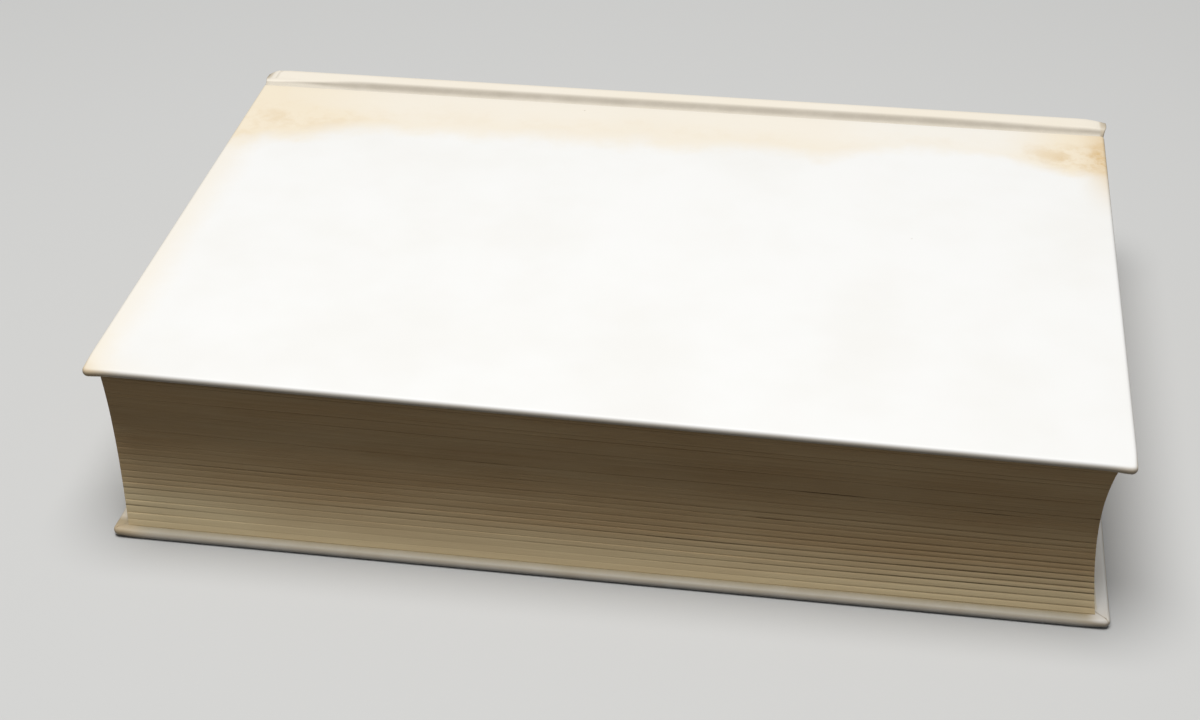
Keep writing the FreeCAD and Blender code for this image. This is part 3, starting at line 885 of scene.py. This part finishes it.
def makePages():
    shape = Shape()
    centre, swing = backArc(pages["backRadius"], pages["backReach"])
    reach = pages["backReach"] - centre
    tangent = book["crownLine"] - pages["backRadius"] * centre / (reach - pages["backRadius"])
    total = pages["high"] - pages["low"]
    count = pages["sections"]
    marks = [index + share for index in range(count) for share in pages["profile"]] + [count]
    chance = random.Random(9)
    standing = [chance.uniform(-1, 1) for _ in range(count)]
    opening = [chance.random() for _ in range(count + 1)]
    swollen = [chance.uniform(0.82, 1.2) for _ in range(count)]
    seams = [sum(swollen[:index]) / sum(swollen) for index in range(count + 1)]

    def gap(place, line):
        # How open the line under a section is: low in the block all are, higher up a few, in part
        tight = smooth(line / count, pages["tightFrom"] - 0.2, pages["tightFrom"] + 0.12)
        drift = wander(place * 0.012, line * 3.3, 1.5)
        short = smooth(opening[line] * 0.6 + 1.3 * wander(place * 0.028, line * 5.1, 3.7), 0.78, 0.98)
        short *= smooth(line / count, 0.66, 0.5)
        faint = 0.05 + 0.24 * opening[line] + 0.2 * drift + 0.6 * short
        loose = 0.38 + 0.3 * opening[line] + 0.24 * drift + 0.4 * short
        headwards = 0.45 + 0.55 * smooth(place, -60, 108)
        calm = smooth(line / count, 0.26, 0.08) * smooth(place, 85, 5) * smooth(place, -118, -85)
        return max(0, loose * (1 - tight) + faint * tight) * headwards * (1 - 0.75 * calm)

    def sectionAt(mark):
        section = min(count - 1, int(mark + 1e-6))
        return section, mark - section

    def levelAt(mark):
        section, within = sectionAt(mark)
        return seams[section] + within * (seams[section + 1] - seams[section])

    def openness(place, mark):
        section, within = sectionAt(mark)
        return gap(place, section if within < 0.5 else section + 1)

    def relief(place, mark):
        # How far the cut edge stands in or out at a place along it
        section, within = sectionAt(mark)
        level = levelAt(mark)
        groove = gap(place, section) * math.exp(-within / pages["gapShare"])
        groove += gap(place, section + 1) * math.exp(-(1 - within) / pages["gapShare"])
        bow = 1 - (2 * within - 1) ** 2
        shift = standing[section] * 0.5 + 0.8 * wander(place * 0.02, section * 1.7, 4.2)
        ends = smooth(level, 0, 0.02) * smooth(1 - level, 0, 0.02)
        bulge = pages["bulge"] * (0.25 + openness(place, mark))
        return bulge * bow + pages["uneven"] * shift * ends - pages["gapDepth"] * groove * ends

    def height(level, place):
        wave = pages["wave"] * wander(place * 0.014, level * 5.0, 8.8)
        return pages["low"] + total * level + wave * smooth(level, 0, 0.1) * smooth(1 - level, 0, 0.1)

    def hollow(level):
        across = 2 * level - 1
        return 1 - across * across

    def forePoint(x, mark):
        level = levelAt(mark)
        y = pages["foreSide"] + pages["hollow"] * hollow(level) - relief(x, mark)
        return x, y, height(level, x) + level * lift(x, y)

    def endPoint(sign, share, mark):
        # share runs from the fore-edge to the rounded back, along the head or the tail
        level = levelAt(mark)
        start = pages["foreSide"] + pages["hollow"] * hollow(level)
        turn = (2 * level - 1) * swing
        backY = book["crownLine"] + centre + reach * math.cos(turn)
        backZ = book["middle"] + reach * math.sin(turn)
        y = start + (backY - start) * share
        slip = pages["slip"] * hollow(level) * smooth(pages["shoulderLine"] - y, 0, 150) ** 0.6
        bend = smooth(y, pages["shoulderLine"] - 12, backY)
        place = pages["endPlace"] + sign * (y - start)
        z = height(level, place)
        z += (backZ - z) * bend
        outer = abs(2 * level - 1) ** 12
        if y > pages["shoulderLine"]:
            across = min(1, abs(y - book["crownLine"]) / pages["backRadius"])
            rim = book["rollHeight"] - pages["backRadius"] * math.sqrt(max(0, 1 - across * across))
            edge = rim if level < 0.5 else book["thick"] - rim
            if y < tangent or outer > 0.99:
                z += (edge - z) * outer
        z += level * lift(sign * pages["half"], y)
        proud = 0.6 * relief(place, mark) * smooth(share, 0, 0.02)
        return sign * (pages["half"] + proud) - slip, y, z

    def endRow(points, mark, sign):
        # The finish reads how far along a point is, how open its line is and which section it is in
        opened = openness(pages["endPlace"], mark)
        return [shape.point(*p, (sign * (pages["endMark"] + p[1]), opened, mark)) for p in points]

    shares = [0, 0.0006, 0.004] + steps(0.014, 0.94, 0.016) + steps(0.945, 1, 0.005)
    columns = steps(-pages["half"], pages["half"], 1.75)
    columns = [columns[0], columns[0] + 0.12] + columns[1:-1] + [columns[-1] - 0.12, columns[-1]]
    tailRows, headRows, foreRows = [], [], []
    for mark in marks:
        tail = [endPoint(-1, share, mark) for share in shares]
        head = [endPoint(1, share, mark) for share in shares]
        slipped = pages["slip"] * hollow(levelAt(mark))
        fore = [forePoint(x - slipped, mark) for x in columns]
        fore[0], fore[-1] = tail[0], head[0]
        tailRows.append(endRow(reversed(tail), mark, -1))
        foreRows.append([shape.point(*p, (p[0], openness(p[0], mark), mark)) for p in fore])
        headRows.append(endRow(head, mark, 1))
    rows = [tail + fore[1:] + head[1:] for tail, fore, head in zip(tailRows, foreRows, headRows)]
    shape.grid(rows)
    shape.grid([[row[-1], row[0]] for row in rows])
    for row, flip in ((0, True), (-1, False)):
        shape.grid([list(reversed(tailRows[row])), headRows[row]], flip)
    return shape.piece("page_leaves", sharp=55, tag="leaf")


pageBlock = makePages()
wear(pageBlock, pageEdges())
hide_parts("text_block")
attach(pageBlock, "book_block")
print("pages are made")


# Endpapers: one folded sheet at each cover, half of it pasted to the board

endpaper = {
    "thick": 0.15,
    "foldLine": leafHigh[1],
    "foreSide": leafLow[1],
    "pastedHalf": pastedHigh[0],
    "leafHalf": leafHigh[0],
    "boardLevel": book["boardThick"] - book["sheet"],
    "turnInLevel": book["boardThick"],
    "turnInEdge": 14.9,
    "mullLevel": book["boardThick"] - 0.05,
    "bendFrom": 66.6,
    "step": 3.0,
    "leafStep": 4,
}


def makeSheet(name, rows, thick, side):
    # A thin sheet from rows of points on its lower face
    shape = Shape()
    low = [[shape.point(*p) for p in row] for row in rows]
    high = [[shape.point(p[0], p[1], p[2] + thick) for p in row] for row in rows]
    shape.grid(low, flip=True)
    shape.grid(high)
    shape.grid([low[0], high[0]], flip=True)
    shape.grid([low[-1], high[-1]])
    shape.grid([[row[0] for row in low], [row[0] for row in high]])
    shape.grid([[row[-1] for row in low], [row[-1] for row in high]], flip=True)
    return shape.piece(name, turned=side == "front")


def pastedLevel(x, y):
    # It lies on the turn-ins and the mull's flap, and on the bare board between them
    fromEdge = min(book["halfLength"] - abs(x), y - book["foreSide"])
    onTurnIn = smooth(fromEdge, endpaper["turnInEdge"] + 0.5, endpaper["turnInEdge"] - 0.4)
    onMull = smooth(y, mullLow[1] - 0.6, mullLow[1] + 0.3) * smooth(mullHigh[0] - abs(x), -0.5, 0.4)
    inJoint = smooth(y, 63.8, 65.0)
    level = endpaper["boardLevel"]
    level += (endpaper["turnInLevel"] - level) * max(onTurnIn, inJoint)
    return max(level, endpaper["boardLevel"] + (endpaper["mullLevel"] - endpaper["boardLevel"]) * onMull)


for side in ("front", "back"):
    half = endpaper["pastedHalf"]
    turnInEnd = book["halfLength"] - endpaper["turnInEdge"]
    turnInSide = book["foreSide"] + endpaper["turnInEdge"]
    mullEnd = steps(mullHigh[0] - 0.7, mullHigh[0] + 0.7, 0.35)
    onEnds = [turnInEnd - 0.6, turnInEnd + 0.4] + mullEnd
    columns = sorted(set(steps(-half, half, endpaper["step"]) + onEnds + [-x for x in onEnds]))
    lines = sorted(set(steps(endpaper["foreSide"], 64, endpaper["step"])
                       + steps(turnInSide - 0.8, turnInSide + 0.8, 0.4)
                       + steps(mullLow[1] - 0.9, mullLow[1] + 0.5, 0.35)
                       + steps(64.2, endpaper["foldLine"], 0.22)))
    rows = [[(x, y, pastedLevel(x, y) - frontLift(side, x, y)) for x in columns] for y in lines]
    pasted = makeSheet(side + "_pasted_leaf", rows, endpaper["thick"], side)
    wear(pasted, endPaper())
    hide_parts(side + "_pastedown")
    bendInJoint(pasted, side, endpaper["bendFrom"], endpaper["foldLine"])
    half = endpaper["leafHalf"]
    rows = [[(x, y, leafLow[2] - frontLift(side, x, y)) for x in steps(-half, half, endpaper["leafStep"])]
            for y in steps(endpaper["foreSide"], endpaper["foldLine"], endpaper["leafStep"])]
    free = makeSheet(side + "_free_leaf", rows, endpaper["thick"], side)
    wear(free, endPaper())
    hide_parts(side + "_free_endpaper")
    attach(free, "book_block")
print("endpapers are made")


# Mull: the cloth hinge under each pastedown

mull = {
    "thick": 0.24,
    "step": 5,
}

for side in ("front", "back"):
    half = mullHigh[0]
    lines = steps(mullLow[1], 66, 2.5) + steps(66.2, book["crownLine"], 0.22)
    level = endpaper["boardLevel"]
    rows = [[(x, y, rollLine(y, level, cover["rollRadius"] - book["sheet"]) - frontLift(side, x, y))
             for x in steps(-half, half, mull["step"])] for y in lines]
    cloth = makeSheet(side + "_mull_cloth", rows, mull["thick"], side)
    wear(cloth, gauze(side + "_mull", False))
    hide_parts(side + "_mull_flap")
    bendInJoint(cloth, side, book["blendFrom"], book["crownLine"])
print("mull is made")


# Headbands: a cord wound with thread, on a strip glued over the back of the sections

band = {
    "bead": 1.1,
    "tape": 9.0,
    "share": 0.95,
    "tapeThick": 0.24,
    "onMull": 0.25,        # it is glued on over the mull
    "threadPitch": 0.62,
    "threadHeight": 0.07,
    "rowsPerTurn": 8,
}


def makeBand(sign):
    shape = Shape()
    centre, halfAngle = backArc(pages["backRadius"], pages["backReach"])
    swing = band["share"] * halfAngle
    outside = pages["backReach"] - centre + band["onMull"]
    length = 2 * swing * outside
    bead = band["bead"]
    turns = length / band["threadPitch"]
    count = int(turns * band["rowsPerTurn"])
    rows = []
    for index in range(count + 1):
        share = index / count
        angle = -swing + 2 * swing * share
        thread = band["threadHeight"] * abs(math.sin(math.pi * share * turns))
        section = []
        for degrees in range(-100, 131, 23):
            turn = math.radians(degrees)
            size = bead - band["threadHeight"] + thread
            section.append((bead * 0.02 + size * math.cos(turn), -bead + size * math.sin(turn)))
        section += [(-band["tape"], -0.02), (-band["tape"], -band["tapeThick"]),
                    (0.0, -band["tapeThick"] - 0.02)]
        row = []
        for apart, rise in section:
            reach = outside + rise
            row.append(shape.point(sign * (pages["half"] + max(apart, -band["tape"])),
                                   book["crownLine"] + centre + reach * math.cos(angle),
                                   book["middle"] + reach * math.sin(angle)))
        rows.append(row + row[:1])
    shape.grid(rows, flip=sign > 0)
    shape.face(*rows[0][:-1])
    shape.face(*reversed(rows[-1][:-1]))
    name = "head" if sign > 0 else "tail"
    return shape.piece(name + "_band_thread", sharp=60)


for name, sign in (("head_band", 1), ("tail_band", -1)):
    wound = makeBand(sign)
    wear(wound, bandThread())
    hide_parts(name)
    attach(wound, "book_block")
print("headbands are made")


# Nodes of the frame that keep their shape

wear(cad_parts["spine_lining"], kraftPaper())
wear(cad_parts["spine_mull"], gauze("spine_mull_cloth", True))


# Floor and light

studio = {
    "floorLevel": -0.05,
    "bounced": (0.13, 0.13, 0.13, 1),     # the floor's colour for light that it throws back
    "backdrop": (0.62, 0.62, 0.61, 1),
    "ambient": 0.11,
    "lamp": 18.9,
    "lampPlace": (-0.05, -0.13, 1.3),
    "lampSize": 0.9,
}


def makeFloor():
    shape = Shape()
    ticks = [-3000, -900, -300, -100, 100, 300, 900, 3000]
    shape.grid([[shape.point(x, y, studio["floorLevel"]) for x in ticks] for y in ticks])
    mesh = bpy.data.meshes.new("floor")
    mesh.from_pydata([Vector(point) * mm for point in shape.points], [], shape.faces)
    floor = bpy.data.objects.new("floor", mesh)
    bpy.context.scene.collection.objects.link(floor)
    finish = Finish("floor")
    place = finish.framePlace()
    mottle = finish.cloud(place, 0.02, 3, 0.5)
    seen = finish.node("LightPath", {}, {}, "Is Camera Ray")
    glossy = finish.node("LightPath", {}, {}, "Is Glossy Ray")
    direct = finish.math("MAXIMUM", seen, glossy)
    pale = finish.mixed(mottle * 0.1, *plainFinish["floor"])
    colour = finish.mixed(direct, studio["bounced"], pale)
    wear(floor, finish.surface(colour, 0.9, [(mottle, 0.02)], Specular_IOR_Level=0.1))


makeFloor()
world = bpy.data.worlds.new("studio")
world.use_nodes = True
tree = world.node_tree
tree.nodes.clear()
path = tree.nodes.new("ShaderNodeLightPath")
chosen = tree.nodes.new("ShaderNodeMixShader")
tree.links.new(path.outputs["Is Camera Ray"], chosen.inputs[0])
ambient = ((1, 1, 1, 1), studio["ambient"])
for index, (colour, strength) in enumerate([ambient, (studio["backdrop"], 1)], start=1):
    light = tree.nodes.new("ShaderNodeBackground")
    light.inputs["Color"].default_value = colour
    light.inputs["Strength"].default_value = strength
    tree.links.new(light.outputs[0], chosen.inputs[index])
worldOutput = tree.nodes.new("ShaderNodeOutputWorld")
tree.links.new(chosen.outputs[0], worldOutput.inputs["Surface"])
bpy.context.scene.world = world

lampData = bpy.data.lights.new("softbox", "AREA")
lampData.shape = "DISK"
lampData.size = studio["lampSize"]
lampData.energy = studio["lamp"]
lamp = bpy.data.objects.new("softbox", lampData)
lamp.location = studio["lampPlace"]
lamp.rotation_euler = (-Vector(studio["lampPlace"])).to_track_quat("-Z", "Y").to_euler()
bpy.context.scene.collection.objects.link(lamp)
bpy.context.scene.view_settings.view_transform = "Standard"
print("floor and light are set")
